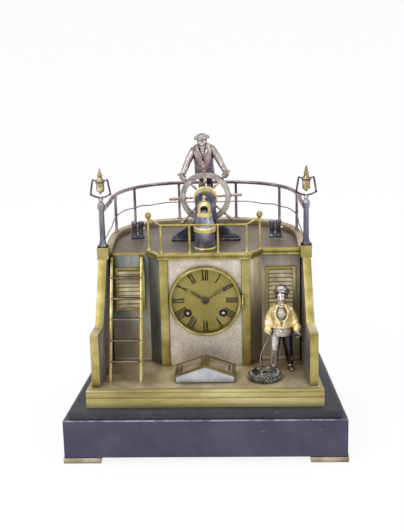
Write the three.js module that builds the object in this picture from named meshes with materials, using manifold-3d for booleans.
// Automaton mantel clock: a ship's quarterdeck with a helmsman at the wheel, on a marble base.
// Millimetres, +Z up. The origin is the centre of the base, on the surface that the feet stand on.
// +X is to the viewer's right and +Y runs from the dial to the stern.
import * as THREE from 'three';
import { mergeVertices } from 'three/addons/utils/BufferGeometryUtils.js';
import Module from 'manifold-3d';

const wasm = await Module();
wasm.setup();

// Running clearance between pieces that are fitted, turned or cut.
const GAP = 0.3;

// Marble base and its feet.
const BASE_WIDTH = 320;
const BASE_DEPTH = 250;
const BASE_TAPER = 0.1;
const FOOT_HEIGHT = 6.5;
const FOOT_WIDTH = 43;
const FOOT_DEPTH = 40;
const FOOT_PROUD = 1;
const BLOCK_HEIGHT = 45.5;
const BLOCK_BEVEL = 2;
const SLAB_HEIGHT = 9;
const SLAB_INSET_SIDE = 7;
const SLAB_INSET_FRONT = 3;
const SLAB_BEVEL = 1.5;

// Brass plinth and the bronze floor on it.
const PLINTH_WIDTH = 268;
const PLINTH_SETBACK = 15;
const PLINTH_HEIGHT = 21;
const PLINTH_FASCIA = 11;
const PLINTH_GROOVE = 1.5;
const PLINTH_GROOVE_DEPTH = 1.2;
const PLINTH_WALL = 6;
const PLINTH_TOP_THICK = 3;
const FLOOR_THICK = 1.2;
const FLOOR_INSET = 4.5;

// Side walls, with a ledge and a cap block under each lantern post.
const WALL_SETBACK = 23;
const WALL_HALF_WIDTH = 127.5;
const WALL_THICK = 9.5;
const WALL_TAPER = 0.08;
const LEDGE_HEIGHT = 62.3;
const LEDGE_DEPTH = 33;
const WALL_RAKE = 35;
const CAP_WIDTH = 13;
const CAP_DEPTH = 14;
const CAP_HEIGHT = 13.5;

// Cabin front: centre bay, canted walls and set-back side bays.
const CABIN_HEIGHT = 130.3;
const BAY_SETBACK = 104.5;
const BAY_CORNER_X = 65.5;
const CABIN_WALL_THICK = 2.5;
const PANEL_HALF_WIDTH = 42.2;
const PANEL_SETBACK = 89;
const PANEL_THICK = 2.5;
const PILASTER_WIDTH = 9.7;
const PILASTER_DEPTH = 8;
const PILASTER_PROUD = 2.5;
const LOUVRE_WIDTH = 34.5;
const LOUVRE_HEIGHT = 52;
const LOUVRE_DEPTH = 3;
const LOUVRE_SILL = 64;
const LOUVRE_BORDER = 3.2;
const LOUVRE_SLATS = 9;

// Upper deck: a D-shaped plan whose stern is a superellipse.
const DECK_HALF_WIDTH = WALL_HALF_WIDTH - 11.5;
const DECK_THICK = 2.5;
const STERN_START = 142;
const STERN_DEPTH = 101;
const STERN_POWER = 2.6;
const STERN_STEPS = 28;
const BALCONY_HALF_WIDTH = 52;
const BALCONY_DEPTH = 18;
const KERB_HEIGHT = 8;
const KERB_WEB = 3;
const KERB_LIP_OUT = 4.2;
const KERB_LIP_IN = 1.2;
const KERB_LIP_HEIGHT = 4;
const COAMING_WIDTH = 8;
const COAMING_HEIGHT = 6.5;
const SHELL_PROUD = 1;
const SHELL_THICK = 3;

// Rear door in the stern shell.
const DOOR_RADIUS = 49.5;
const DOOR_THICK = 2.2;
const DOOR_CENTRE = 66.8;
const DOOR_COLLAR_WIDTH = 5;
const DOOR_COLLAR_PROUD = 3.5;
const DOOR_COLLAR_DEPTH = 14;

// Taffrail and balcony rail.
const RAIL_HEIGHT = 45.5;
const RAIL_WIDTH = 5;
const RAIL_THICK = 4;
const STANCHION_RADIUS = 1.7;
const STANCHION_ANGLES = [15, 42, 77];
const WIRE_HEIGHT = 22;
const WIRE_RADIUS = 0.7;
const BALCONY_RAIL_HEIGHT = 33;
const BALCONY_POST_RADIUS = 1.4;
const BALCONY_RAIL_RADIUS = 1;
const BALL_POST_HEIGHT = 41;
const BALL_RADIUS = 3.6;

// Lantern posts with yokes, and lanterns on trunnions.
const POST_HEIGHT = 58.5;
const POST_RADIUS = 3.4;
const YOKE_CORNER_X = 11.2;
const YOKE_CORNER_Z = 62;
const YOKE_TOP_X = 8.5;
const YOKE_TOP_Z = 78;
const YOKE_RADIUS = 1.1;
const LANTERN_RADIUS = 4.6;
const TRUNNION_RADIUS = 0.8;

// Binnacle, wheel pedestal, ship's wheel and bollards.
const BINNACLE_RADIUS = 12.8;
const BINNACLE_Y = 125;
const WHEEL_HEIGHT = 50;
const WHEEL_Y = 171;
const WHEEL_RIM_OUTER = 30.3;
const WHEEL_RIM_INNER = 23.8;
const WHEEL_RIM_THICK = 5;
const WHEEL_HANDLE_TIP = 44;
const WHEEL_HUB_RADIUS = 14.4;
const WHEEL_ARBOR_RADIUS = 3;
const WHEEL_SPOKES = 8;
const WHEEL_REST_TURN = 3;
const HANDLE_RADIUS = 2.1;
const PEDESTAL_THICK = 6;
const PEDESTAL_HALF_FOOT = 31;
const BOLLARD_EDGE_GAP = 33;
const BOLLARD_Y = 173;

// Skylight, ladder, fisherman and net basket on the floor.
const SKYLIGHT_HALF_WIDTH = 34.5;
const SKYLIGHT_DEPTH = 36;
const SKYLIGHT_SETBACK = 33;
const SKYLIGHT_EAVE = 9;
const SKYLIGHT_RIDGE = 21;
const SKYLIGHT_WALL = 2.2;
const LADDER_WALL_GAP = 8.5;
const LADDER_BAY_GAP = 6;
const LADDER_STILE = 3.2;
const LADDER_STILE_DEPTH = 3.6;
const LADDER_FOOT = 35;
const LADDER_RUNGS = 5;
const FISHERMAN_WALL_GAP = 30.5;
const FISHERMAN_Y = 76;
const FISHERMAN_HEIGHT = 103;
const BASKET_STEP = 20;
const BASKET_Y = 47.5;
const BASKET_RADIUS = 19;
const BASKET_HEIGHT = 11;
const BASKET_WALL = 2.4;

// Helmsman behind the wheel.
const HELMSMAN_GAP_Y = 18;
const WAIST_ABOVE_WHEEL = 8;
const WAIST_RADIUS = 8;
const SHOULDER_HALF = 13;
const SHOULDER_ABOVE_WAIST = 38;
const LEAN_REST = 3.4;
const GRIP_RADIUS = 36;
const GRIP_ANGLE = 45;

// Dial, bezel, glass and hands.
const DIAL_DROP = 50.5;
const DIAL_RADIUS = 39.6;
const DIAL_THICK = 1.4;
const BEZEL_OUTER = 42;
const BEZEL_LIP = 38.6;
const BEZEL_DEPTH = 6.4;
const GLASS_DOME = 4.2;
const GLASS_THICK = 1.3;
const MINUTE_HAND_LENGTH = 35;
const HOUR_HAND_LENGTH = 22;
const HAND_THICK = 0.8;
const MINUTE_AT_REST = 54.6;
const HOUR_AT_REST = 304.55;
const WINDING_X = 20.7;
const WINDING_DROP = 15.5;
const WINDING_HOLE = 3.6;

// Movement behind the dial: two round plates, pillars and a going train.
const PLATE_RADIUS = 38;
const PLATE_THICK = 1.5;
const PLATE_SPACE = 32.5;
const SEAT_RING = 5.5;
const SEAT_RING_WIDTH = 3;
const PILLAR_RADIUS = 2.4;
const PILLAR_CIRCLE = 33;
const PILLAR_ANGLES = [10, 60, 120, 170, 270];
const ARBOR_RADIUS = 1.4;
const BARREL_RADIUS = 16.5;
const BARREL_LENGTH = 16;
const TRAIN_WHEEL_TEETH = 32;
const TRAIN_PINION_TEETH = 8;
const BARREL_TEETH = 36;
const CENTRE_PINION_TEETH = 9;
const STRIKE_SIDES = 28;
const STRIKE_RADIUS = 17.6;
const THIRD_OFFSET = 12.4;
const ESCAPE_RISE = 21;
const ESCAPE_TEETH = 15;
const ESCAPE_RADIUS = 8;
const PALLET_RISE = 12.5;
const MOTION_DISTANCE = 13;
const CANNON_TEETH = 8;
const MINUTE_WHEEL_TEETH = 24;
const BOB_FLOOR_GAP = 8.3;
const BOB_RADIUS = 11;
const BELL_RADIUS = 24;
const BELL_X = 18;
const BELL_DROP = 13;
const HAMMER_X = BELL_X - BELL_RADIUS - 4;
const HAMMER_RISE = 9;

// Levels and depths that follow from the sizes above.
const FRONT = -BASE_DEPTH / 2;
const SLAB_TOP = FOOT_HEIGHT + BLOCK_HEIGHT + SLAB_HEIGHT;
const PLINTH_TOP = SLAB_TOP + PLINTH_HEIGHT;
const FLOOR_Z = PLINTH_TOP + FLOOR_THICK;
const DECK_UNDER = FLOOR_Z + CABIN_HEIGHT;
const DECK_Z = DECK_UNDER + DECK_THICK;
const KERB_TOP = DECK_UNDER + KERB_HEIGHT;
const COAMING_TOP = DECK_Z + COAMING_HEIGHT;
const PLINTH_FRONT = FRONT + PLINTH_SETBACK;
const WALL_FRONT = FRONT + WALL_SETBACK;
const WALL_INNER = WALL_HALF_WIDTH - WALL_THICK;
const LEDGE_Z = FLOOR_Z + LEDGE_HEIGHT;
const BAY_FRONT = FRONT + BAY_SETBACK;
const PANEL_FRONT = FRONT + PANEL_SETBACK;
const PANEL_BACK = PANEL_FRONT + PANEL_THICK;
const PILASTER_FRONT = PANEL_FRONT - PILASTER_PROUD;
const DECK_FRONT = BAY_FRONT + 0.5;
const BALCONY_FRONT = DECK_FRONT - BALCONY_DEPTH;
const STERN_Y = FRONT + STERN_START;
const STERN_BACK = STERN_Y + STERN_DEPTH;
const CAP_BACK = DECK_FRONT - GAP;
const WALL_BACK = DECK_FRONT + 4;
const CAP_TOP = DECK_UNDER + CAP_HEIGHT;
const POST_Y = CAP_BACK - CAP_DEPTH / 2;
const POST_X = WALL_HALF_WIDTH - WALL_THICK / 2 - WALL_TAPER * (POST_Y - WALL_FRONT);
const LOUVRE_X = (BAY_CORNER_X + POST_X - CAP_WIDTH / 2) / 2;
const LADDER_WIDTH = WALL_INNER - LADDER_WALL_GAP - BAY_CORNER_X - LADDER_BAY_GAP;
const LADDER_X = WALL_INNER - LADDER_WALL_GAP - LADDER_WIDTH / 2;
const FISHERMAN_X = WALL_INNER - FISHERMAN_WALL_GAP;
const BASKET_X = FISHERMAN_X - BASKET_STEP;
const BOLLARD_X = DECK_HALF_WIDTH - BOLLARD_EDGE_GAP;
const RAIL_Z = COAMING_TOP + RAIL_HEIGHT;
const DIAL_Z = DECK_UNDER - DIAL_DROP;
const DIAL_FRONT = PANEL_FRONT + 0.4;
const DIAL_BACK = DIAL_FRONT + DIAL_THICK;
const WHEEL_CENTRE = new THREE.Vector3(0, FRONT + WHEEL_Y, DECK_Z + WHEEL_HEIGHT);
const WAIST = new THREE.Vector3(0, WHEEL_CENTRE.y + HELMSMAN_GAP_Y, WHEEL_CENTRE.z + WAIST_ABOVE_WHEEL);

const clock = new THREE.Group();
clock.name = 'automaton_mantel_clock';

// Finishes: colour, roughness and metalness.
const BRASS = [0xb9a55a, 0.38, 1];
const DARK_BRASS = [0x9c8b4b, 0.45, 1];
const GILT = [0xc9a63c, 0.3, 1];
const BRONZE = [0x87785f, 0.5, 1];
const STEEL = [0x6e6973, 0.4, 1];
const SILVER = [0xb4ac9e, 0.42, 1];
const DECK_METAL = [0xaa9b82, 0.5, 1];
const MARBLE = [0x47485a, 0.25, 0];
const GLASS = [0xdfe8ea, 0.05, 0];
const PEARL = [0xa9b4bd, 0.2, 0];
const BLUED = [0x1d2030, 0.3, 1];

// A closed geometry becomes a solid that can be joined and cut.
function toSolid(geometry) {
  const bare = geometry.clone();
  bare.deleteAttribute('normal');
  bare.deleteAttribute('uv');
  const merged = mergeVertices(bare, 1e-4);
  const index = merged.index.array;
  const kept = [];
  for (let i = 0; i < index.length; i += 3) {
    const [a, b, c] = [index[i], index[i + 1], index[i + 2]];
    if (a !== b && b !== c && c !== a) kept.push(a, b, c);
  }
  const vertProperties = new Float32Array(merged.attributes.position.array);
  const triVerts = new Uint32Array(kept);
  return new wasm.Manifold(new wasm.Mesh({ numProp: 3, vertProperties, triVerts }));
}

function toGeometry(solid) {
  const data = solid.getMesh();
  const geometry = new THREE.BufferGeometry();
  geometry.setAttribute('position', new THREE.Float32BufferAttribute(data.vertProperties, 3));
  geometry.setIndex(new THREE.Uint32BufferAttribute(data.triVerts, 1));
  geometry.computeVertexNormals();
  return geometry;
}

function join(solids) {
  return solids.reduce((whole, solid) => whole.add(solid));
}

function cut(solid, tools) {
  return tools.reduce((left, tool) => left.subtract(tool), solid);
}

function addPiece(name, solid, finish, position = [0, 0, 0], turnY = 0) {
  const [color, roughness, metalness] = finish;
  const material = new THREE.MeshStandardMaterial({ color, roughness, metalness });
  const mesh = new THREE.Mesh(toGeometry(solid), material);
  mesh.name = name;
  mesh.position.set(...position);
  mesh.rotation.y = turnY;
  clock.add(mesh);
  return mesh;
}

const degrees = THREE.MathUtils.degToRad;
const mirrored = (points) => points.map(([x, y]) => [-x, y]).reverse();

function shapeOf(points) {
  return new THREE.Shape(points.map(([x, y]) => new THREE.Vector2(x, y)));
}

// Plate with an XY outline between two levels, with an optional bevel on its edges.
function plate(points, bottom, top, bevel = 0) {
  const options = { depth: top - bottom - 2 * bevel, bevelEnabled: bevel > 0, steps: 1 };
  Object.assign(options, { bevelThickness: bevel, bevelSize: bevel, bevelOffset: -bevel, bevelSegments: 1 });
  return toSolid(new THREE.ExtrudeGeometry(shapeOf(points), options).translate(0, 0, bottom + bevel));
}

// Prism with an XZ outline between two depths.
function slabY(points, front, back) {
  const geometry = new THREE.ExtrudeGeometry(shapeOf(points), { depth: back - front, bevelEnabled: false });
  return toSolid(geometry.rotateX(Math.PI / 2).translate(0, back, 0));
}

// Prism with a YZ outline between two values of X.
function slabX(points, left, right) {
  const geometry = new THREE.ExtrudeGeometry(shapeOf(points), { depth: right - left, bevelEnabled: false });
  geometry.rotateX(Math.PI / 2).rotateZ(Math.PI / 2);
  return toSolid(geometry.translate(left, 0, 0));
}

function block(x0, x1, y0, y1, z0, z1) {
  const geometry = new THREE.BoxGeometry(x1 - x0, y1 - y0, z1 - z0);
  return toSolid(geometry.translate((x0 + x1) / 2, (y0 + y1) / 2, (z0 + z1) / 2));
}

// Turned pieces: profile points are [radius, distance along the axis].
function turnedZ(profile, segments = 14) {
  const points = profile.map(([r, z]) => new THREE.Vector2(r, z));
  return toSolid(new THREE.LatheGeometry(points, segments).rotateX(Math.PI / 2));
}

function turnedY(profile, x, z, segments = 16) {
  const points = profile.map(([r, y]) => new THREE.Vector2(r, y));
  return toSolid(new THREE.LatheGeometry(points, segments).translate(x, 0, z));
}

function rodY(radius, x, z, front, back, segments = 10) {
  return turnedY([[0, front], [radius, front], [radius, back], [0, back]], x, z, segments);
}

function ringY(inner, outer, x, z, front, back, segments = 32) {
  const profile = [[inner, front], [outer, front], [outer, back], [inner, back], [inner, front]];
  return turnedY(profile, x, z, segments);
}

// Round bar from one point to another, tapering between two radii.
function bar(from, to, radius, endRadius = radius, segments = 6) {
  const start = new THREE.Vector3(...from);
  const along = new THREE.Vector3(...to).sub(start);
  const geometry = new THREE.CylinderGeometry(endRadius, radius, along.length(), segments);
  geometry.translate(0, along.length() / 2, 0);
  const up = new THREE.Vector3(0, 1, 0);
  geometry.applyQuaternion(new THREE.Quaternion().setFromUnitVectors(up, along.clone().normalize()));
  return toSolid(geometry.translate(start.x, start.y, start.z));
}

function ellipsoid(centre, radii, segments = 8) {
  const geometry = new THREE.SphereGeometry(1, segments, Math.round(segments * 0.7));
  return toSolid(geometry.rotateX(Math.PI / 2).scale(...radii).translate(...centre));
}

function limb(from, to, radius, endRadius) {
  const start = ellipsoid(from, [radius, radius, radius], 6);
  const end = ellipsoid(to, [endRadius, endRadius, endRadius], 6);
  return join([bar(from, to, radius, endRadius), start, end]);
}

// Bar of any section swept along a list of points.
function swept(points, section, steps) {
  const path = new THREE.CatmullRomCurve3(points.map((p) => new THREE.Vector3(...p)));
  return toSolid(new THREE.ExtrudeGeometry(shapeOf(section), { steps, bevelEnabled: false, extrudePath: path }));
}

function ovalSection(halfWidth, halfHeight, sides = 8) {
  const corner = (_, i) => {
    const angle = ((i + 0.5) * 2 * Math.PI) / sides;
    return [halfWidth * Math.cos(angle), halfHeight * Math.sin(angle)];
  };
  return Array.from({ length: sides }, corner);
}

// Outline that narrows evenly towards the stern.
function taperedOutline(halfWidth, front, back, taper) {
  const halfBack = halfWidth - taper * (back - front);
  return [[-halfWidth, front], [halfWidth, front], [halfBack, back], [-halfBack, back]];
}

// Stern curve from the right side round the back to the left, drawn in from the deck's edge by an inset.
function sternPoint(inset, angle) {
  const halfWidth = DECK_HALF_WIDTH - inset;
  const depth = STERN_DEPTH - inset;
  const power = 2 / STERN_POWER;
  const x = halfWidth * Math.sign(Math.cos(angle)) * Math.abs(Math.cos(angle)) ** power;
  return [x, STERN_Y + depth * Math.sin(angle) ** power];
}

function sternCurve(inset) {
  const points = [];
  for (let i = 0; i <= STERN_STEPS; i += 1) {
    const swing = i / STERN_STEPS;
    const eased = swing + 0.04 * Math.sin(4 * Math.PI * swing);
    points.push(sternPoint(inset, Math.min(Math.PI, Math.max(0, eased * Math.PI))));
  }
  points[0] = [DECK_HALF_WIDTH - inset, STERN_Y];
  points[STERN_STEPS] = [-(DECK_HALF_WIDTH - inset), STERN_Y];
  return points;
}

// Band that follows the stern between two insets, open towards the front.
function sternBand(outerInset, innerInset, front, bottom, top) {
  const outer = [[DECK_HALF_WIDTH - outerInset, front], ...sternCurve(outerInset)];
  outer.push([-(DECK_HALF_WIDTH - outerInset), front]);
  const inner = [[DECK_HALF_WIDTH - innerInset, front], ...sternCurve(innerInset)];
  inner.push([-(DECK_HALF_WIDTH - innerInset), front]);
  return plate([...outer, ...inner.reverse()], bottom, top);
}

// Marble base, feet, plinth and floor.
function buildBase() {
  const back = -FRONT;
  const blockTop = FOOT_HEIGHT + BLOCK_HEIGHT;
  const block1 = plate(taperedOutline(BASE_WIDTH / 2, FRONT, back, BASE_TAPER), FOOT_HEIGHT, blockTop, BLOCK_BEVEL);
  const slabFront = FRONT + SLAB_INSET_FRONT;
  const slabHalf = BASE_WIDTH / 2 - SLAB_INSET_SIDE;
  const slabOutline = taperedOutline(slabHalf, slabFront, back - SLAB_INSET_FRONT, BASE_TAPER);
  const slab = plate(slabOutline, blockTop - BLOCK_BEVEL, SLAB_TOP, SLAB_BEVEL);
  addPiece('marble_base', join([block1, slab]), MARBLE);

  const halfBack = BASE_WIDTH / 2 - BASE_TAPER * BASE_DEPTH;
  const footFront = FRONT - FOOT_PROUD + FOOT_DEPTH / 2;
  const corners = [
    ['front_left', -1, BASE_WIDTH / 2, footFront],
    ['front_right', 1, BASE_WIDTH / 2, footFront],
    ['rear_left', -1, halfBack, -footFront],
    ['rear_right', 1, halfBack, -footFront],
  ];
  const w = FOOT_WIDTH / 2;
  const d = FOOT_DEPTH / 2;
  for (const [place, side, half, y] of corners) {
    const foot = plate([[-w, -d], [w, -d], [w, d], [-w, d]], 0, FOOT_HEIGHT, 0.8);
    addPiece(`foot_${place}`, foot, BRONZE, [side * (half + FOOT_PROUD - w), y, 0]);
  }

  const plinthBack = -FRONT - PLINTH_SETBACK + 4;
  const half = PLINTH_WIDTH / 2;
  const layer = (inset, bottom, top, bevel) =>
    plate(taperedOutline(half - inset, PLINTH_FRONT + inset, plinthBack - inset, BASE_TAPER), bottom, top, bevel);
  const grooveZ = SLAB_TOP + PLINTH_FASCIA;
  const core = layer(PLINTH_GROOVE_DEPTH, SLAB_TOP, PLINTH_TOP, 0);
  const fascia = layer(0, SLAB_TOP, grooveZ, 0);
  const moulding = layer(0, grooveZ + PLINTH_GROOVE, PLINTH_TOP, 0.8);
  const pocket = layer(PLINTH_WALL, SLAB_TOP - 1, PLINTH_TOP - PLINTH_TOP_THICK, 0);
  addPiece('plinth', cut(join([core, fascia, moulding]), [pocket]), BRASS);

  const floorOutline = taperedOutline(half - FLOOR_INSET, PLINTH_FRONT + FLOOR_INSET, plinthBack - 2, BASE_TAPER);
  addPiece('floor_plate', plate(floorOutline, PLINTH_TOP, FLOOR_Z), BRONZE);
}

// Side walls: a YZ profile, sheared so that each wall closes in towards the stern.
function buildSideWalls() {
  const rakeTop = WALL_FRONT + LEDGE_DEPTH + WALL_RAKE;
  const profile = [
    [WALL_FRONT, FLOOR_Z],
    [WALL_BACK, FLOOR_Z],
    [WALL_BACK, DECK_UNDER],
    [rakeTop, DECK_UNDER],
    [WALL_FRONT + LEDGE_DEPTH, LEDGE_Z],
    [WALL_FRONT, LEDGE_Z],
  ];
  const half = CAP_WIDTH / 2;
  for (const [side, sign] of [['left', -1], ['right', 1]]) {
    const left = sign > 0 ? WALL_INNER : -WALL_HALF_WIDTH;
    const wall = slabX(profile, left, left + WALL_THICK);
    const geometry = toGeometry(wall);
    const slope = -sign * WALL_TAPER;
    const shear = new THREE.Matrix4().set(1, slope, 0, -slope * WALL_FRONT, 0, 1, 0, 0, 0, 0, 1, 0, 0, 0, 0, 1);
    const x = sign * POST_X;
    const cap = block(x - half, x + half, CAP_BACK - CAP_DEPTH, CAP_BACK, DECK_UNDER - 0.6, CAP_TOP);
    addPiece(`side_wall_${side}`, join([toSolid(geometry.applyMatrix4(shear)), cap]), BRASS);
  }
}

// Stern shell that closes the case at the back, with a round collar and a hinged door.
function buildStern() {
  const shell = sternBand(-SHELL_PROUD, SHELL_THICK - SHELL_PROUD, WALL_BACK, FLOOR_Z, DECK_UNDER);
  const z = FLOOR_Z + DOOR_CENTRE;
  const collarBack = STERN_BACK + SHELL_PROUD + DOOR_COLLAR_PROUD - 1;
  const inner = DOOR_RADIUS - DOOR_COLLAR_WIDTH;
  const collar = ringY(inner, DOOR_RADIUS, 0, z, collarBack - DOOR_COLLAR_DEPTH, collarBack, 36);
  const bore = rodY(inner + 0.5, 0, z, STERN_Y + STERN_DEPTH / 2, collarBack + 1, 36);
  const hingeX = DOOR_RADIUS + 2.2;
  const doorFront = collarBack + GAP;
  const hingeY = doorFront + DOOR_THICK / 2;
  const barrel = (bottom, top) =>
    bar([hingeX, hingeY, bottom], [hingeX, hingeY, top], 1.6, 1.6, 12);
  const lug = (bottom, top) =>
    join([barrel(bottom, top), block(hingeX - 6, hingeX, doorFront - 6, doorFront - GAP, bottom, top)]);
  const lugs = [lug(z + 5 + GAP, z + 10), lug(z - 10, z - 5 - GAP)];
  addPiece('stern_shell', join([cut(shell, [bore]), collar, ...lugs]), DARK_BRASS);

  const disc = rodY(DOOR_RADIUS, 0, z, doorFront, doorFront + DOOR_THICK, 36);
  const bead = ringY(DOOR_RADIUS - 8, DOOR_RADIUS - 5, 0, z, doorFront, doorFront + DOOR_THICK + 0.8, 36);
  const knob = rodY(3, 8 - DOOR_RADIUS, z, doorFront, doorFront + DOOR_THICK + 1.6);
  const leaf = block(DOOR_RADIUS - 4, hingeX, doorFront, doorFront + DOOR_THICK, z - 5, z + 5);
  addPiece('rear_door', join([disc, bead, knob, leaf, barrel(z - 5, z + 5)]), BRASS);
}

// Cabin front: centre panel, pilasters, folded cabin walls and louvred shutters.
function buildCabin() {
  const panel = block(-PANEL_HALF_WIDTH, PANEL_HALF_WIDTH, PANEL_FRONT, PANEL_BACK, FLOOR_Z, DECK_UNDER);
  const opening = rodY(DIAL_RADIUS + 0.4, 0, DIAL_Z, PANEL_FRONT - 1, PANEL_BACK + 1, 48);
  addPiece('centre_panel', cut(panel, [opening]), SILVER);

  const inner = PANEL_HALF_WIDTH + GAP;
  const outer = inner + PILASTER_WIDTH;
  const pilasterBack = PILASTER_FRONT + PILASTER_DEPTH;
  addPiece('pilaster_left', block(-outer, -inner, PILASTER_FRONT, pilasterBack, FLOOR_Z, DECK_UNDER), BRASS);
  const { x, y, half } = BEZEL_HINGE;
  const lug = (bottom, top) =>
    join([bar([x, y, bottom], [x, y, top], 1.5, 1.5, 12), block(x - 0.5, x + 3, y, PILASTER_FRONT + 1, bottom, top)]);
  const post = block(inner, outer, PILASTER_FRONT, pilasterBack, FLOOR_Z, DECK_UNDER);
  const upper = lug(DIAL_Z + half + GAP, DIAL_Z + half + 4);
  const lower = lug(DIAL_Z - half - 4, DIAL_Z - half - GAP);
  addPiece('pilaster_right', join([post, upper, lower]), BRASS);

  const t = CABIN_WALL_THICK;
  const wallInside = WALL_INNER - WALL_TAPER * (BAY_FRONT + t - WALL_FRONT);
  const bayEnd = Math.min(wallInside, POST_X - CAP_WIDTH / 2) - GAP;
  const start = outer + GAP;
  const cantFront = PILASTER_FRONT + 4;
  const outline = [
    [start, cantFront],
    [BAY_CORNER_X, BAY_FRONT],
    [bayEnd, BAY_FRONT],
    [bayEnd, BAY_FRONT + t],
    [BAY_CORNER_X - 1.2, BAY_FRONT + t],
    [start, cantFront + t * 1.45],
  ];
  addPiece('cabin_wall_right', plate(outline, FLOOR_Z, DECK_UNDER), SILVER);
  addPiece('cabin_wall_left', plate(mirrored(outline), FLOOR_Z, DECK_UNDER), SILVER);

  for (const [side, sign] of [['left', -1], ['right', 1]]) {
    addPiece(`louvre_${side}`, louvre(), BRASS, [sign * LOUVRE_X, BAY_FRONT, FLOOR_Z + LOUVRE_SILL]);
  }
}

// Shutter with its back on y = 0 and its sill on z = 0.
function louvre() {
  const w = LOUVRE_WIDTH / 2;
  const frame = block(-w, w, -LOUVRE_DEPTH, 0, 0, LOUVRE_HEIGHT);
  const b = LOUVRE_BORDER;
  const window = block(b - w, w - b, -LOUVRE_DEPTH - 1, -0.8, b, LOUVRE_HEIGHT - b);
  const pitch = (LOUVRE_HEIGHT - 2 * b) / LOUVRE_SLATS;
  const slats = [];
  for (let i = 0; i < LOUVRE_SLATS; i += 1) {
    const z = b + i * pitch;
    const section = [[-0.5, z + pitch * 0.95], [-LOUVRE_DEPTH + 0.5, z + 1], [-LOUVRE_DEPTH + 0.5, z], [-0.5, z]];
    slats.push(slabX(section, b - w - 0.5, w - b + 0.5));
  }
  return join([cut(frame, [window]), ...slats]);
}

// Deck plate, its front moulding, the coaming and the rails.
function deckEdge(offset) {
  const run = BAY_CORNER_X + 0.5 - BALCONY_HALF_WIDTH;
  const slant = Math.hypot(run, BALCONY_DEPTH);
  const shift = (offset * (slant - BALCONY_DEPTH)) / run;
  const wide = (offset * (slant - run)) / BALCONY_DEPTH;
  return {
    corner: [BAY_CORNER_X + 0.5 + shift, DECK_FRONT - offset],
    balcony: [BALCONY_HALF_WIDTH + wide, BALCONY_FRONT - offset],
  };
}

function buildDeck() {
  const edge = deckEdge(0);
  const outline = [
    ...mirrored([edge.balcony, edge.corner, [DECK_HALF_WIDTH, DECK_FRONT]]),
    edge.balcony,
    edge.corner,
    [DECK_HALF_WIDTH, DECK_FRONT],
    ...sternCurve(0),
  ];
  addPiece('upper_deck', plate(outline, DECK_UNDER, DECK_Z), DECK_METAL);

  const kerbEnd = POST_X - CAP_WIDTH / 2 - GAP;
  const strip = (inner, outer, bottom, top) => {
    const a = deckEdge(inner);
    const b = deckEdge(outer);
    const points = [
      [-b.corner[0], b.corner[1]],
      [-b.balcony[0], b.balcony[1]],
      b.balcony,
      b.corner,
      [kerbEnd, b.corner[1]],
      [kerbEnd, a.corner[1]],
      a.corner,
      a.balcony,
      [-a.balcony[0], a.balcony[1]],
      [-a.corner[0], a.corner[1]],
    ];
    return plate(points, bottom, top);
  };
  const web = strip(GAP, KERB_WEB, DECK_UNDER, KERB_TOP - KERB_LIP_HEIGHT + 0.2);
  const lip = strip(-KERB_LIP_IN, KERB_LIP_OUT, KERB_TOP - KERB_LIP_HEIGHT, KERB_TOP);
  addPiece('deck_moulding', join([web, lip]), BRASS);
  addPiece('stern_coaming', sternBand(0, COAMING_WIDTH, DECK_FRONT + KERB_LIP_IN + GAP, DECK_Z, COAMING_TOP), BRONZE);
}

function buildTaffrail() {
  const inset = COAMING_WIDTH / 2;
  const endX = POST_X - 0.8;
  const endY = POST_Y + POST_RADIUS + GAP + 0.6;
  const loop = (shift, height) => {
    const curve = sternCurve(inset + shift);
    const lead = [[endX - shift, endY], [(endX + DECK_HALF_WIDTH - inset) / 2 - shift, (endY + STERN_Y) / 2]];
    return [...lead, ...curve, ...mirrored(lead)].map(([x, y]) => [x, y, height]);
  };
  const rail = swept(loop(0, RAIL_Z), ovalSection(RAIL_WIDTH / 2, RAIL_THICK / 2), 40);
  const wire = swept(loop(STANCHION_RADIUS, COAMING_TOP + WIRE_HEIGHT), ovalSection(WIRE_RADIUS, WIRE_RADIUS, 4), 36);
  const stanchions = [];
  for (const angle of STANCHION_ANGLES) {
    for (const turn of [angle, 180 - angle]) {
      const [x, y] = sternPoint(inset, degrees(turn));
      stanchions.push(bar([x, y, COAMING_TOP], [x, y, RAIL_Z], STANCHION_RADIUS));
    }
  }
  addPiece('taffrail', join([rail, wire, ...stanchions]), STEEL);
}

function buildBalconyRail() {
  const lip = deckEdge((KERB_LIP_OUT - KERB_LIP_IN) / 2);
  const onSlant = 0.8;
  const ballX = lip.balcony[0] + (lip.corner[0] - lip.balcony[0]) * onSlant;
  const ballY = lip.balcony[1] + (lip.corner[1] - lip.balcony[1]) * onSlant;
  const frontY = lip.balcony[1];
  const cornerX = lip.balcony[0] - 4;
  const railZ = KERB_TOP + BALCONY_RAIL_HEIGHT;
  const ballZ = KERB_TOP + BALL_POST_HEIGHT;
  const solids = [bar([-cornerX, frontY, railZ], [cornerX, frontY, railZ], BALCONY_RAIL_RADIUS)];
  for (const x of [-cornerX, -cornerX / 3, cornerX / 3, cornerX]) {
    solids.push(bar([x, frontY, KERB_TOP], [x, frontY, railZ + 0.6], BALCONY_POST_RADIUS));
  }
  for (const sign of [-1, 1]) {
    const x = sign * ballX;
    solids.push(bar([x, ballY, KERB_TOP], [x, ballY, ballZ], BALCONY_POST_RADIUS));
    solids.push(ellipsoid([x, ballY, ballZ], [BALL_RADIUS, BALL_RADIUS, BALL_RADIUS]));
    solids.push(bar([sign * cornerX, frontY, railZ], [x, ballY, ballZ - BALL_RADIUS], BALCONY_RAIL_RADIUS));
  }
  addPiece('balcony_rail', join(solids), BRASS);
}

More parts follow.
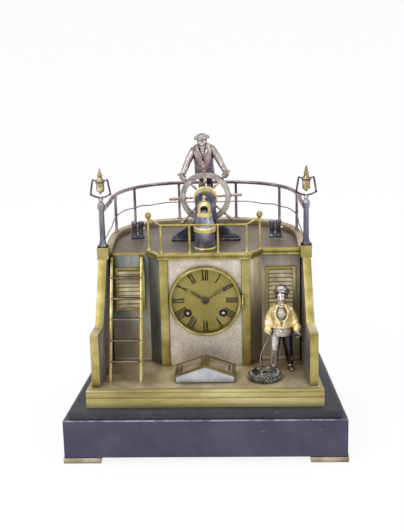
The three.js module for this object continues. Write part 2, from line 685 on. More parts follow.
// Lantern post with its stirrup yoke; its foot is on z = 0.
function lanternPost() {
  const r = POST_RADIUS;
  const top = POST_HEIGHT;
  const shaft = turnedZ([
    [0, 0], [r + 1.6, 0], [r + 1.6, 2.4], [r, 6], [r - 0.5, top - 14], [r + 0.8, top - 11], [r + 0.8, top - 9],
    [r - 1.4, top - 4.5], [r - 0.4, top - 2.5], [r - 1.6, top], [0, top],
  ], 10);
  const bars = [];
  for (const sign of [-1, 1]) {
    const low = [0, 0, top - 1];
    const corner = [sign * YOKE_CORNER_X, 0, YOKE_CORNER_Z];
    const high = [sign * YOKE_TOP_X, 0, YOKE_TOP_Z + YOKE_RADIUS];
    bars.push(bar(low, corner, YOKE_RADIUS), bar(corner, high, YOKE_RADIUS));
    bars.push(ellipsoid(corner, [YOKE_RADIUS * 1.15, YOKE_RADIUS * 1.15, YOKE_RADIUS * 1.15], 6));
  }
  return join([shaft, ...bars]);
}

// Lantern that hangs from its trunnions on z = 0.
function lantern() {
  const r = LANTERN_RADIUS;
  const body = turnedZ([
    [0, -15.5], [r - 1.6, -15.5], [r, -14], [r, -3], [r + 0.6, -2], [r + 0.6, -0.6], [r - 1.6, 3], [r - 2.2, 6],
    [r - 1.6, 7.5], [r - 3, 9], [r - 2.6, 11], [r - 3.4, 13], [0, 14],
  ], 12);
  const reach = YOKE_TOP_X - YOKE_RADIUS - GAP;
  return join([body, bar([-reach, 0, 0], [reach, 0, 0], TRUNNION_RADIUS)]);
}

function buildLanterns() {
  for (const [side, sign] of [['left', -1], ['right', 1]]) {
    const x = sign * POST_X;
    addPiece(`lantern_post_${side}`, lanternPost(), STEEL, [x, POST_Y, CAP_TOP]);
    addPiece(`lantern_${side}`, lantern(), GILT, [x, POST_Y, CAP_TOP + YOKE_TOP_Z]);
  }
}

// Deck furniture: binnacle, wheel pedestal, ship's wheel and bollards.
function buildBinnacle() {
  const r = BINNACLE_RADIUS;
  const stand = turnedZ([
    [0, 0], [r + 0.8, 0], [r + 0.8, 2], [r, 2.6], [r, 17.5], [r + 0.8, 18], [r + 0.8, 23], [r - 0.8, 23.8],
    [r - 2.8, 27], [r - 3.2, 30], [r - 3.2, 35.5], [r - 2.4, 36], [r - 2.4, 40.5], [r - 3.6, 41], [r - 3.6, 47],
    [r - 4.8, 51], [r - 7.6, 54], [2, 55], [1.6, 56], [1.6, 60], [2.3, 60.5], [2.3, 62.5], [0, 63],
  ], 16);
  const arch = [[-5, 42], [5, 42], [5, 46], [3.4, 49], [0, 50.2], [-3.4, 49], [-5, 46]];
  addPiece('binnacle', cut(stand, [slabY(arch, -r, -4.5)]), STEEL, [0, FRONT + BINNACLE_Y, DECK_Z]);
}

function buildPedestal() {
  const z = WHEEL_CENTRE.z;
  const side = [[PEDESTAL_HALF_FOOT, DECK_Z], [PEDESTAL_HALF_FOOT, DECK_Z + 4], [15, DECK_Z + 15]];
  side.push([13.5, DECK_Z + 24], [11, z - 8], [8, z]);
  const crown = [30, 60, 90, 120, 150].map((a) => [8 * Math.cos(degrees(a)), z + 8 * Math.sin(degrees(a))]);
  const front = WHEEL_CENTRE.y - 13;
  const upright = slabY([...side, ...crown, ...mirrored(side)], front, front + PEDESTAL_THICK);
  const feet = [-1, 1].map((sign) => {
    const [a, b] = [sign * (PEDESTAL_HALF_FOOT - 14), sign * PEDESTAL_HALF_FOOT];
    return block(Math.min(a, b), Math.max(a, b), front - 4, front + PEDESTAL_THICK + 8, DECK_Z, DECK_Z + 3);
  });
  const bore = rodY(WHEEL_ARBOR_RADIUS + GAP, 0, z, front - 1, front + PEDESTAL_THICK + 1, 20);
  addPiece('wheel_pedestal', cut(join([upright, ...feet]), [bore]), STEEL);
}

function buildWheel() {
  const t = WHEEL_RIM_THICK / 2;
  const [inner, outer] = [WHEEL_RIM_INNER, WHEEL_RIM_OUTER];
  const rim = turnedY([
    [inner, 1 - t], [inner + 1, -t], [outer - 1, -t], [outer, 1 - t], [outer, t], [inner, t], [inner, 1 - t],
  ], 0, 0, 32);
  const handle = [
    [0, 6], [1.3, 6], [1.3, outer + 1], [1, outer + 2.5], [HANDLE_RADIUS, outer + 6],
    [HANDLE_RADIUS * 0.8, WHEEL_HANDLE_TIP - 4], [HANDLE_RADIUS, WHEEL_HANDLE_TIP - 1.2], [0, WHEEL_HANDLE_TIP],
  ];
  const spokes = [];
  for (let i = 0; i < WHEEL_SPOKES; i += 1) {
    const points = handle.map(([r, d]) => new THREE.Vector2(r, d));
    const spoke = new THREE.LatheGeometry(points, 6).rotateX(Math.PI / 2);
    spokes.push(toSolid(spoke.rotateY((i * 2 * Math.PI) / WHEEL_SPOKES)));
  }
  const a = WHEEL_ARBOR_RADIUS;
  const capBack = -13 - GAP;
  const hub = turnedY([
    [0, capBack - 2], [a + 1.5, capBack - 2], [a + 1.5, capBack], [a, capBack], [a, -6.6], [WHEEL_HUB_RADIUS - 2, -6.6],
    [WHEEL_HUB_RADIUS, -5.6], [WHEEL_HUB_RADIUS, -4], [7, -3.4], [7, 3], [0, 3],
  ], 0, 0, 18);
  addPiece('ship_wheel', join([rim, hub, ...spokes]), GILT, WHEEL_CENTRE.toArray(), -degrees(WHEEL_REST_TURN));
}

function buildBollards() {
  for (const [side, sign] of [['left', -1], ['right', 1]]) {
    const base = plate([[-8, -4.5], [8, -4.5], [8, 4.5], [-8, 4.5]], 0, 1.6, 0.4);
    const bitt = [[0, 1], [3.4, 1], [2.6, 4], [2.6, 15], [3.8, 17.5], [3.8, 20], [0, 20]];
    const shift = (x) => toSolid(toGeometry(turnedZ(bitt, 10)).translate(x, 0, 0));
    const knob = ellipsoid([7.6, 0, 11], [1.6, 1.6, 1.6], 8);
    const stem = bar([4, 0, 11], [7.4, 0, 11], 0.9);
    const solid = join([base, shift(-4), shift(4), stem, knob]);
    addPiece(`bollard_${side}`, solid, STEEL, [sign * BOLLARD_X, FRONT + BOLLARD_Y, DECK_Z]);
  }
}

// Gabled skylight on the floor in front of the dial.
function buildSkylight() {
  const half = SKYLIGHT_HALF_WIDTH;
  const front = FRONT + SKYLIGHT_SETBACK;
  const back = front + SKYLIGHT_DEPTH;
  const eave = FLOOR_Z + SKYLIGHT_EAVE;
  const ridge = FLOOR_Z + SKYLIGHT_RIDGE;
  const slope = (ridge - eave) / half;
  const t = SKYLIGHT_WALL;
  const gable = (inset, drop) => {
    const h = half - inset;
    const e = eave + slope * inset - drop;
    return [[-h, FLOOR_Z + inset], [h, FLOOR_Z + inset], [h, e], [0, ridge - drop], [-h, e]];
  };
  const hollow = gable(t, t).map(([x, z]) => [x, z < FLOOR_Z + t + 0.01 ? FLOOR_Z - 1 : z]);
  const border = 1.6;
  const roofZ = (x, drop) => ridge - slope * x - drop;
  const roofBand = (x0, x1, above, below) =>
    [[x0, roofZ(x0, below)], [x1, roofZ(x1, below)], [x1, roofZ(x1, above)], [x0, roofZ(x0, above)]];
  const light = roofBand(2.4, half - 3.2, -2, t + 2);
  const lights = [light, mirrored(light)].map((points) => slabY(points, front + 3, back - 3));
  const window = slabY(gable(t + border, t + border), front - 1, front + t + 1);
  const inside = slabY(hollow, front + t, back - t);
  addPiece('skylight_frame', cut(slabY(gable(0, 0), front, back), [inside, window, ...lights]), BRASS);

  const pane = roofBand(2.4 + GAP, half - 3.2 - GAP, 0.5, t - 0.3);
  addPiece('skylight_pane_right', slabY(pane, front + 3 + GAP, back - 3 - GAP), BRONZE);
  addPiece('skylight_pane_left', slabY(mirrored(pane), front + 3 + GAP, back - 3 - GAP), BRONZE);
  const inset = t + border + GAP;
  addPiece('skylight_front_pane', slabY(gable(inset, inset), front + 0.6, front + t - 0.4), PEARL);
}

// Ladder that leans on the edge of the deck at the left.
function buildLadder() {
  const foot = FRONT + LADDER_FOOT;
  const top = BAY_FRONT - 0.4 - LADDER_STILE_DEPTH;
  const topZ = DECK_UNDER - 0.6;
  const d = LADDER_STILE_DEPTH;
  const stile = [[foot, FLOOR_Z], [foot + d, FLOOR_Z], [top + d, topZ], [top, topZ]];
  const half = LADDER_WIDTH / 2;
  const s = LADDER_STILE;
  const solids = [slabX(stile, -LADDER_X - half, -LADDER_X - half + s), slabX(stile, -LADDER_X + half - s, -LADDER_X + half)];
  for (let i = 0; i < LADDER_RUNGS; i += 1) {
    const share = (i + 1) / (LADDER_RUNGS + 1);
    const y = foot + (top - foot) * share;
    const z = FLOOR_Z + (topZ - FLOOR_Z) * share;
    solids.push(block(-LADDER_X - half + 1, -LADDER_X + half - 1, y - 0.6, y + d + 1.2, z - 0.9, z + 0.9));
  }
  addPiece('ladder', join(solids), BRASS);
}

// Fisherman at the right, in jacket, apron and boots, built up from his feet on z = 0.
function buildFisherman() {
  const h = FISHERMAN_HEIGHT;
  const at = (x, y, z) => [x * h, y * h, z * h];
  const solids = [
    bar(at(-0.08, -0.015, 0.01), at(-0.045, 0.01, 0.46), 0.038 * h, 0.062 * h, 8),
    bar(at(0.09, 0, 0.01), at(0.045, 0.01, 0.46), 0.038 * h, 0.062 * h, 8),
    ellipsoid(at(-0.085, -0.04, 0.028), at(0.04, 0.07, 0.036), 8),
    ellipsoid(at(0.1, -0.03, 0.028), at(0.04, 0.07, 0.036), 8),
    ellipsoid(at(0, 0.01, 0.46), at(0.128, 0.09, 0.12)),
    ellipsoid(at(0, 0.01, 0.645), at(0.135, 0.09, 0.145)),
    bar(at(-0.16, 0.01, 0.725), at(0.16, 0.01, 0.725), 0.05 * h),
    bar(at(0, 0.005, 0.74), at(0, 0, 0.84), 0.042 * h, 0.036 * h),
    ellipsoid(at(0, -0.008, 0.865), at(0.058, 0.066, 0.078)),
    ellipsoid(at(0, 0, 0.925), at(0.097, 0.105, 0.026), 10),
    ellipsoid(at(0, 0, 0.95), at(0.064, 0.066, 0.05)),
    bar(at(-0.13, 0.01, 0.74), at(-0.185, -0.01, 0.57), 0.052 * h, 0.042 * h),
    limb(at(-0.185, -0.01, 0.57), at(-0.135, -0.07, 0.47), 0.042 * h, 0.032 * h),
    bar(at(0.13, 0.01, 0.74), at(0.19, -0.005, 0.57), 0.052 * h, 0.042 * h),
    limb(at(0.19, -0.005, 0.57), at(0.19, -0.06, 0.455), 0.042 * h, 0.032 * h),
    ellipsoid(at(-0.135, -0.08, 0.455), at(0.034, 0.034, 0.034), 8),
    ellipsoid(at(0.19, -0.07, 0.44), at(0.04, 0.05, 0.034), 8),
  ];
  const sole = block(-h, h, -h, h, -h, 0);
  addPiece('fisherman', cut(join(solids), [sole]), SILVER, [FISHERMAN_X, FRONT + FISHERMAN_Y, FLOOR_Z]);
}

// Shallow round net basket with the wire that rises to the fisherman's hand.
function buildBasket() {
  const r = BASKET_RADIUS;
  const top = BASKET_HEIGHT;
  const wall = BASKET_WALL;
  const bowl = turnedZ([
    [0, 0], [r - 4, 0], [r - 0.6, 3], [r, 6], [r - 1.5, top], [r - 1.5 - wall, top], [r - wall, 6], [r - 5, wall],
    [0, wall],
  ], 24);
  const h = FISHERMAN_HEIGHT;
  const hand = new THREE.Vector3(FISHERMAN_X - 0.135 * h, FRONT + FISHERMAN_Y - 0.08 * h, 0.455 * h);
  const place = new THREE.Vector3(BASKET_X, FRONT + BASKET_Y, 0);
  const reach = hand.sub(place);
  const end = [reach.x - 1, reach.y - 0.8, reach.z - 0.034 * h - GAP - 0.5];
  const foot = [-4.5, r - 2.2, top - 1];
  const middle = [-2.5, r + 1, (end[2] + foot[2]) * 0.52];
  const wire = swept([foot, middle, end], ovalSection(0.7, 0.7, 6), 8);
  addPiece('net_basket', join([bowl, wire]), STEEL, [BASKET_X, FRONT + BASKET_Y, FLOOR_Z]);
}

// Helmsman: trousers stand on the deck, the upper body rocks at the waist and the arms turn at the shoulders.
function aboutWaist(x, z, turn = LEAN_REST) {
  const angle = degrees(turn);
  const lean = [x * Math.cos(angle) - z * Math.sin(angle), x * Math.sin(angle) + z * Math.cos(angle)];
  return [WAIST.x + lean[0], WAIST.z + lean[1]];
}

function gripPoint(sign) {
  const angle = degrees((sign > 0 ? GRIP_ANGLE : 180 - GRIP_ANGLE) + WHEEL_REST_TURN);
  const direction = new THREE.Vector3(Math.cos(angle), 0, Math.sin(angle));
  return { direction, point: direction.clone().multiplyScalar(GRIP_RADIUS).add(WHEEL_CENTRE) };
}

function buildHelmsman() {
  const y = WAIST.y;
  const deck = DECK_Z;
  const hip = WAIST.z - 8;
  const knee = (deck + hip) / 2;
  const legs = [];
  for (const sign of [-1, 1]) {
    legs.push(bar([sign * 7.5, y, deck], [sign * 6.2, y - 1, knee], 4, 4.6, 8));
    legs.push(bar([sign * 6.2, y - 1, knee], [sign * 4.6, y, hip], 4.6, 6, 8));
    legs.push(ellipsoid([sign * 8, y - 3.5, deck + 2.6], [4, 8, 3.4], 8));
  }
  const pelvis = ellipsoid([0, y, hip], [9.5, 7, 7]);
  const boss = rodY(WAIST_RADIUS, 0, WAIST.z, y - 5.5, y + 5.5, 18);
  const sole = block(-40, 40, y - 40, y + 40, deck - 40, deck);
  addPiece('helmsman_legs', cut(join([...legs, pelvis, boss]), [sole]), STEEL);

  const s = SHOULDER_ABOVE_WAIST;
  const body = join([
    ellipsoid([0, 0, 12], [11, 8.4, 15]),
    ellipsoid([0, -0.5, 27], [13, 8.6, 15]),
    bar([-12, -0.5, s - 1.5], [12, -0.5, s - 1.5], 5.2, 5.2, 8),
    bar([0, -1, s], [0, -2, s + 9], 3.6, 3.4),
    ellipsoid([0, -2.6, s + 14.5], [5.6, 6.4, 7.6]),
    ellipsoid([0, -2.8, s + 21], [10, 10.4, 3], 10),
    ellipsoid([0, -2.4, s + 24], [7.2, 7.6, 4.6]),
  ]);
  const socket = rodY(WAIST_RADIUS + GAP, 0, 0, -6, 6, 18);
  const r = 4.6;
  const sockets = [-1, 1].map((sign) => ellipsoid([sign * (SHOULDER_HALF + 1), -1, s], [r + 0.7, r + 0.7, r + 0.7], 12));
  addPiece('helmsman_torso', cut(body, [socket, ...sockets]), SILVER, WAIST.toArray(), -degrees(LEAN_REST));

  for (const [side, sign] of [['left', -1], ['right', 1]]) {
    const [shoulderX, shoulderZ] = aboutWaist(sign * (SHOULDER_HALF + 1), s);
    const shoulder = [shoulderX, y - 1, shoulderZ];
    const { direction, point } = gripPoint(sign);
    const wrist = [point.x + sign * 0.4, point.y + 5, point.z + 2.2];
    const elbow = [(shoulder[0] + wrist[0]) / 2 + sign * 3, (shoulder[1] + wrist[1]) / 2 + 3.5, (shoulderZ + wrist[2]) / 2];
    const hand = ellipsoid(point.toArray(), [4.4, 4.6, 4.4]);
    const along = direction.clone().multiplyScalar(12);
    const hole = bar(point.clone().sub(along).toArray(), point.clone().add(along).toArray(), HANDLE_RADIUS + 0.8, HANDLE_RADIUS + 0.8, 12);
    const arm = join([
      ellipsoid(shoulder, [r, r, r]),
      bar(shoulder, elbow, 4.2, 3.6),
      limb(elbow, wrist, 3.6, 2.6),
      hand,
    ]);
    addPiece(`helmsman_arm_${side}`, cut(arm, [hole]), SILVER);
  }
}

// Dial with its bezel, glass and hands.
const BEZEL_HINGE = { x: BEZEL_OUTER + 1.3, y: PANEL_FRONT - 4.4, half: 4 };

function buildDial() {
  const disc = rodY(DIAL_RADIUS, 0, DIAL_Z, DIAL_FRONT, DIAL_BACK, 48);
  const holes = [rodY(HOUR_PIPE + 2 * GAP, 0, DIAL_Z, DIAL_FRONT - 1, DIAL_BACK + 1)];
  for (const sign of [-1, 1]) {
    holes.push(rodY(WINDING_HOLE, sign * WINDING_X, DIAL_Z - WINDING_DROP, DIAL_FRONT - 1, DIAL_BACK + 1));
  }
  addPiece('dial', cut(disc, holes), GILT);

  const back = PANEL_FRONT;
  const front = back - BEZEL_DEPTH;
  const rebate = DIAL_RADIUS + 0.6;
  const lipBack = front + 1.9;
  const ring = turnedY([
    [BEZEL_LIP, lipBack], [BEZEL_LIP, front + 0.8], [BEZEL_LIP + 0.8, front], [BEZEL_OUTER - 1.2, front],
    [BEZEL_OUTER, front + 1.4], [BEZEL_OUTER, back], [rebate, back], [rebate, lipBack], [BEZEL_LIP, lipBack],
  ], 0, DIAL_Z, 36);
  const { x, y, half } = BEZEL_HINGE;
  const barrel = bar([x, y, DIAL_Z - half], [x, y, DIAL_Z + half], 1.5, 1.5, 12);
  addPiece('bezel', join([ring, barrel]), BRASS);

  const edge = rebate - GAP;
  const seat = lipBack + GAP;
  const inside = BEZEL_LIP - GAP;
  const dome = (r, shift) => [r, seat - GLASS_DOME * (1 - (r / inside) ** 2) + shift];
  const steps = [0.92, 0.6, 0];
  const outer = steps.map((share) => dome(inside * share, 0));
  const under = [...steps].reverse().map((share) => dome(inside * share, GLASS_THICK));
  const rim = [[edge, seat], [inside, seat]];
  addPiece('dial_glass', turnedY([...under, [edge, seat + GLASS_THICK], ...rim, ...outer].reverse(), 0, DIAL_Z, 32), GLASS);
}

// Spur gear outline with narrow straight-sided teeth; the first tooth points along the given angle.
function gearOutline(teeth, module, toothAngle) {
  const radius = (teeth * module) / 2;
  const pitch = (2 * Math.PI) / teeth;
  const at = (r, angle) => [r * Math.cos(angle), r * Math.sin(angle)];
  const points = [];
  for (let i = 0; i < teeth; i += 1) {
    const middle = toothAngle + i * pitch;
    points.push(at(radius - 1.15 * module, middle - 0.2 * pitch), at(radius + 0.7 * module, middle - 0.09 * pitch));
    points.push(at(radius + 0.7 * module, middle + 0.09 * pitch), at(radius - 1.15 * module, middle + 0.2 * pitch));
  }
  return points;
}

function gear(teeth, module, toothAngle, x, z, front, back) {
  const points = gearOutline(teeth, module, toothAngle).map(([a, b]) => [a + x, b + z]);
  return slabY(points, front, back);
}

// Movement: everything is placed from the centre arbor.
const MOVEMENT = {
  frontPlate: PANEL_BACK + SEAT_RING,
  get trainFront() { return this.frontPlate + PLATE_THICK; },
  get backPlate() { return this.trainFront + PLATE_SPACE; },
  get back() { return this.backPlate + PLATE_THICK; },
};
const HOUR_PIPE = 3;
const PENDULUM_FRONT = MOVEMENT.back + 2.8;
const PENDULUM_THICK = 1.6;
const PENDULUM_PIN = 1;
const BARREL_Z = DIAL_Z - WINDING_DROP;
const THIRD = { x: -THIRD_OFFSET, z: DIAL_Z + THIRD_OFFSET };
const ESCAPE = { x: 0, z: DIAL_Z + ESCAPE_RISE };
const PALLET_Z = ESCAPE.z + PALLET_RISE;
const PENDULUM_LENGTH = PALLET_Z - FLOOR_Z - BOB_FLOOR_GAP - BOB_RADIUS;
const MINUTE_WHEEL_Z = DIAL_Z + MOTION_DISTANCE;
const angleTo = (a, b) => Math.atan2(b.z - a.z, b.x - a.x);
const distance = (a, b) => Math.hypot(b.z - a.z, b.x - a.x);

function buildMovementFrame() {
  const { frontPlate, trainFront, backPlate, back } = MOVEMENT;
  const seat = ringY(PLATE_RADIUS - SEAT_RING_WIDTH, PLATE_RADIUS, 0, DIAL_Z, PANEL_BACK, frontPlate + 0.5, 28);
  const plates = [
    rodY(PLATE_RADIUS, 0, DIAL_Z, frontPlate, trainFront, 28),
    rodY(PLATE_RADIUS, 0, DIAL_Z, backPlate, back, 28),
  ];
  const lug = ringY(DIAL_RADIUS - 4, DIAL_RADIUS + 2.4, 0, DIAL_Z, PANEL_BACK, PANEL_BACK + 1.4, 28);
  const pillars = PILLAR_ANGLES.map((angle) => {
    const x = PILLAR_CIRCLE * Math.cos(degrees(angle));
    const z = DIAL_Z + PILLAR_CIRCLE * Math.sin(degrees(angle));
    return rodY(PILLAR_RADIUS, x, z, trainFront - 0.5, backPlate + 0.5, 6);
  });
  const bores = [
    [ARBOR_RADIUS, 0, DIAL_Z],
    [ARBOR_RADIUS, THIRD.x, THIRD.z],
    [ARBOR_RADIUS, ESCAPE.x, ESCAPE.z],
    [ARBOR_RADIUS, 0, PALLET_Z],
    [2.2, -WINDING_X, BARREL_Z],
    [2.2, WINDING_X, BARREL_Z],
    [ARBOR_RADIUS, 0, MINUTE_WHEEL_Z],
    [ARBOR_RADIUS, HAMMER_X, DIAL_Z + HAMMER_RISE],
  ].map(([radius, x, z]) => rodY(radius + GAP, x, z, frontPlate - 1, back + 1, 8));
  const eye = PENDULUM_FRONT + PENDULUM_THICK;
  const cock = [
    block(-8, 8, back - 0.5, eye + 2, PALLET_Z + 3.2, PALLET_Z + 6),
    block(-4, 4, eye + GAP, eye + 2, PALLET_Z - 3, PALLET_Z + 4),
    rodY(PENDULUM_PIN, 0, PALLET_Z, PENDULUM_FRONT, eye + 1),
  ];
  addPiece('movement_frame', join([cut(join([seat, lug, ...plates, ...pillars]), bores), ...cock]), BRASS);
}

function barrelArbor(x) {
  const { trainFront, backPlate } = MOVEMENT;
  const square = 1.5;
  const z = BARREL_Z;
  const winder = block(x - square, x + square, DIAL_FRONT - 0.8, MOVEMENT.frontPlate, z - square, z + square);
  return join([winder, rodY(2.2, x, z, MOVEMENT.frontPlate - 1, backPlate + PLATE_THICK), rodY(BARREL_RADIUS, x, z, trainFront + 4.2, trainFront + 4 + BARREL_LENGTH, 18)]);
}

function buildTrain() {
  const { trainFront, backPlate, back } = MOVEMENT;
  const centre = { x: 0, z: DIAL_Z };
  const going = { x: -WINDING_X, z: BARREL_Z };
  const arbor = ({ x, z }, front, end) => rodY(ARBOR_RADIUS, x, z, front, end, 8);
  const pair = (wheel, pinion, from, to) => {
    const module = (2 * distance(from, to)) / (wheel + pinion);
    const toPinion = angleTo(from, to);
    const toWheel = angleTo(to, from);
    return { module, wheelAngle: toPinion, pinionAngle: toWheel + Math.PI / pinion };
  };

  const great = pair(BARREL_TEETH, CENTRE_PINION_TEETH, going, centre);
  const greatFront = trainFront + 1.5;
  const greatWheel = gear(BARREL_TEETH, great.module, great.wheelAngle, going.x, going.z, greatFront, greatFront + 2.8);
  addPiece('going_barrel', join([greatWheel, barrelArbor(going.x)]), BRASS);

  const strikeWheel = rodY(STRIKE_RADIUS, WINDING_X, BARREL_Z, greatFront, greatFront + 2.8, STRIKE_SIDES);
  addPiece('strike_barrel', join([strikeWheel, barrelArbor(WINDING_X)]), BRASS);

  const second = pair(TRAIN_WHEEL_TEETH, TRAIN_PINION_TEETH, centre, THIRD);
  const wheelFront = trainFront + 4 + BARREL_LENGTH + 2;
  const centrePinion = gear(CENTRE_PINION_TEETH, great.module, great.pinionAngle, 0, DIAL_Z, greatFront - 0.4, greatFront + 3.2);
  const centreWheel = gear(TRAIN_WHEEL_TEETH, second.module, second.wheelAngle, 0, DIAL_Z, wheelFront, wheelFront + 1.5);
  addPiece('centre_arbor', join([centrePinion, centreWheel, arbor(centre, CANNON_BACK + GAP, back)]), BRASS);

  const third = pair(TRAIN_WHEEL_TEETH, TRAIN_PINION_TEETH, THIRD, ESCAPE);
  const thirdFront = wheelFront + 3.5;
  const thirdPinion = gear(TRAIN_PINION_TEETH, second.module, second.pinionAngle, THIRD.x, THIRD.z, wheelFront - 0.4, wheelFront + 1.9);
  const thirdWheel = gear(TRAIN_WHEEL_TEETH, third.module, third.wheelAngle, THIRD.x, THIRD.z, thirdFront, thirdFront + 1.5);
  addPiece('third_arbor', join([thirdPinion, thirdWheel, arbor(THIRD, trainFront - 1, back)]), BRASS);

  const escapeFront = backPlate - 3;
  const escapePinion = gear(TRAIN_PINION_TEETH, third.module, third.pinionAngle, 0, ESCAPE.z, thirdFront - 0.4, thirdFront + 1.9);
  const ratchet = [];
  for (let i = 0; i < ESCAPE_TEETH; i += 1) {
    const angle = (i * 2 * Math.PI) / ESCAPE_TEETH;
    const step = (2 * Math.PI) / ESCAPE_TEETH;
    const spot = (r, a) => [r * Math.cos(a), ESCAPE.z + r * Math.sin(a)];
    ratchet.push(spot(ESCAPE_RADIUS - 2.2, angle), spot(ESCAPE_RADIUS, angle + step * 0.1), spot(ESCAPE_RADIUS - 2.2, angle + step * 0.5));
  }
  const escapeWheel = slabY(ratchet, escapeFront, escapeFront + 1.5);
  addPiece('escape_arbor', join([escapePinion, escapeWheel, arbor(ESCAPE, trainFront - 1, back)]), BRASS);

  const z = PALLET_Z;
  const reach = ESCAPE_RADIUS + 0.9;
  const anchor = slabY([
    [-reach, ESCAPE.z + 3], [-reach + 0.2, ESCAPE.z + 6.2], [-2.4, z + 2.4], [2.4, z + 2.4], [reach - 0.2, ESCAPE.z + 6.2],
    [reach, ESCAPE.z + 3], [reach + 1.4, ESCAPE.z + 3], [reach + 1.2, z - 2], [3.4, z + 4], [-3.4, z + 4],
    [-reach - 1.2, z - 2], [-reach - 1.4, ESCAPE.z + 3],
  ], escapeFront - 0.3, escapeFront + 1.8);
  const staff = arbor({ x: 0, z }, trainFront - 1, back + 2.4);
  const hub = rodY(2.6, 0, z, escapeFront - 0.3, escapeFront + 1.8);
  const crutch = block(-0.9, 0.9, back + 0.6, back + 2.2, z - 26, z);
  addPiece('pallets', join([anchor, hub, staff, crutch]), STEEL);
}

function buildPendulum() {
  const front = PENDULUM_FRONT;
  const top = PALLET_Z;
  const bobZ = top - PENDULUM_LENGTH;
  const end = front + PENDULUM_THICK;
  const rod = block(-1.1, 1.1, front, end, bobZ, top - 2);
  const eye = ringY(PENDULUM_PIN + GAP, 2.6, 0, top, front, end, 14);
  const bob = turnedY([
    [0, front - 1.6], [BOB_RADIUS - 3, front - 1.6], [BOB_RADIUS, front + 0.8], [BOB_RADIUS - 3, front + 3.2], [0, front + 3.2],
  ], 0, bobZ, 20);
  addPiece('pendulum', join([rod, eye, bob]), BRASS);
}

function buildMotionWork() {
  const centre = { x: 0, z: DIAL_Z };
  const wheel = { x: 0, z: MINUTE_WHEEL_Z };
  const front = MOVEMENT.frontPlate;
  const cannonModule = (2 * MOTION_DISTANCE) / (CANNON_TEETH + MINUTE_WHEEL_TEETH);
  const hourModule = (2 * MOTION_DISTANCE) / (TRAIN_WHEEL_TEETH + TRAIN_PINION_TEETH);
  const up = angleTo(centre, wheel);
  const down = angleTo(wheel, centre);
  const lowPlane = [front - 1.8, front - 0.4];
  const highPlane = [front - 4, front - 2.4];

  const minuteGear = gear(MINUTE_WHEEL_TEETH, cannonModule, down, 0, wheel.z, ...lowPlane);
  const minutePinion = gear(TRAIN_PINION_TEETH, hourModule, down + Math.PI / TRAIN_PINION_TEETH, 0, wheel.z, highPlane[0], lowPlane[0] + 0.3);
  const stud = rodY(ARBOR_RADIUS, 0, wheel.z, highPlane[0] - 0.3, front + PLATE_THICK, 12);
  addPiece('minute_wheel', join([minuteGear, minutePinion, stud]), BRASS);

  const handFront = DIAL_FRONT - 3.8;
  const cannon = gear(CANNON_TEETH, cannonModule, up + Math.PI / CANNON_TEETH, 0, DIAL_Z, ...lowPlane);
  const pipe = rodY(2, 0, DIAL_Z, handFront, lowPlane[1], 16);
  const minuteShape = pointer(MINUTE_HAND_LENGTH, 1.5, MINUTE_AT_REST, handFront);
  const boss = turnedY([[0, handFront - 0.8], [2, handFront - 0.8], [3.2, handFront], [3.2, handFront + HAND_THICK], [0, handFront + HAND_THICK]], 0, DIAL_Z, 18);
  addPiece('minute_hand', join([minuteShape, boss, pipe, cannon]), BLUED);

  const hourFront = handFront + HAND_THICK + 0.6;
  const tube = ringY(2 + GAP, HOUR_PIPE, 0, DIAL_Z, hourFront, highPlane[1], 18);
  const hourGear = gear(TRAIN_WHEEL_TEETH, hourModule, up, 0, DIAL_Z, ...highPlane);
  const hourShape = join([pointer(HOUR_HAND_LENGTH, 2.1, HOUR_AT_REST, hourFront), rodY(3.6, 0, DIAL_Z, hourFront, hourFront + HAND_THICK, 18)]);
  const bore = rodY(2 + GAP, 0, DIAL_Z, hourFront - 1, highPlane[1] + 1, 18);
  addPiece('hour_hand', join([cut(join([hourShape, hourGear]), [bore]), tube]), BLUED);
}

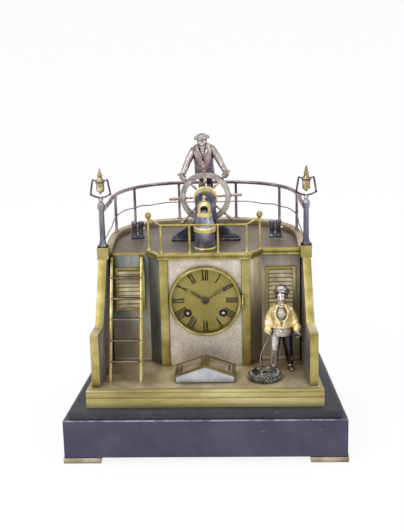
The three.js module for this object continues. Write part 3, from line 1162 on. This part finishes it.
// Slim pointer from the centre, turned clockwise from twelve.
function pointer(length, halfWidth, clockwise, front) {
  const outline = [
    [-halfWidth, 0], [-halfWidth * 0.55, length * 0.55], [-halfWidth, length * 0.68], [-0.25, length], [0.25, length],
    [halfWidth, length * 0.68], [halfWidth * 0.55, length * 0.55], [halfWidth, 0],
  ];
  const angle = degrees(clockwise);
  const turned = outline.map(([x, z]) =>
    [x * Math.cos(angle) + z * Math.sin(angle), DIAL_Z - x * Math.sin(angle) + z * Math.cos(angle)]);
  return slabY(turned.reverse(), front, front + HAND_THICK);
}

function buildStriking() {
  const back = MOVEMENT.back;
  const z = DIAL_Z - BELL_DROP;
  const rim = back + 10;
  const r = BELL_RADIUS;
  const deep = 16;
  const wall = 1.4;
  const bell = turnedY([
    [0, rim + deep - wall], [r * 0.55 - 0.6, rim + deep * 0.86 - wall], [r * 0.86 - wall, rim + deep * 0.5 - 0.6],
    [r - wall, rim], [r, rim], [r * 0.86, rim + deep * 0.5], [r * 0.55, rim + deep * 0.86], [0, rim + deep],
  ], BELL_X, z, 24);
  const stand = rodY(2, BELL_X, z, back, rim + deep + 2);
  addPiece('bell', join([bell, stand]), SILVER);

  const pivot = [HAMMER_X, DIAL_Z + HAMMER_RISE];
  const arm = rim + 3;
  const head = [HAMMER_X, z + 2];
  const staff = rodY(ARBOR_RADIUS, pivot[0], pivot[1], MOVEMENT.backPlate - 2, arm + 2, 12);
  const lever = bar([pivot[0], arm, pivot[1]], [head[0], arm, head[1]], 1.1);
  const knob = bar([head[0] - 3, arm, head[1] - 0.8], [head[0] + 2.4, arm, head[1] + 0.4], 2.6, 2.6, 12);
  addPiece('hammer', join([staff, lever, knob]), STEEL);
}

const CANNON_BACK = MOVEMENT.frontPlate - 0.4;

buildBase();
buildSideWalls();
buildStern();
buildCabin();
buildDeck();
buildTaffrail();
buildBalconyRail();
buildLanterns();
buildBinnacle();
buildPedestal();
buildWheel();
buildBollards();
buildSkylight();
buildLadder();
buildFisherman();
buildBasket();
buildHelmsman();
buildDial();
buildMovementFrame();
buildTrain();
buildPendulum();
buildMotionWork();
buildStriking();

export default clock;
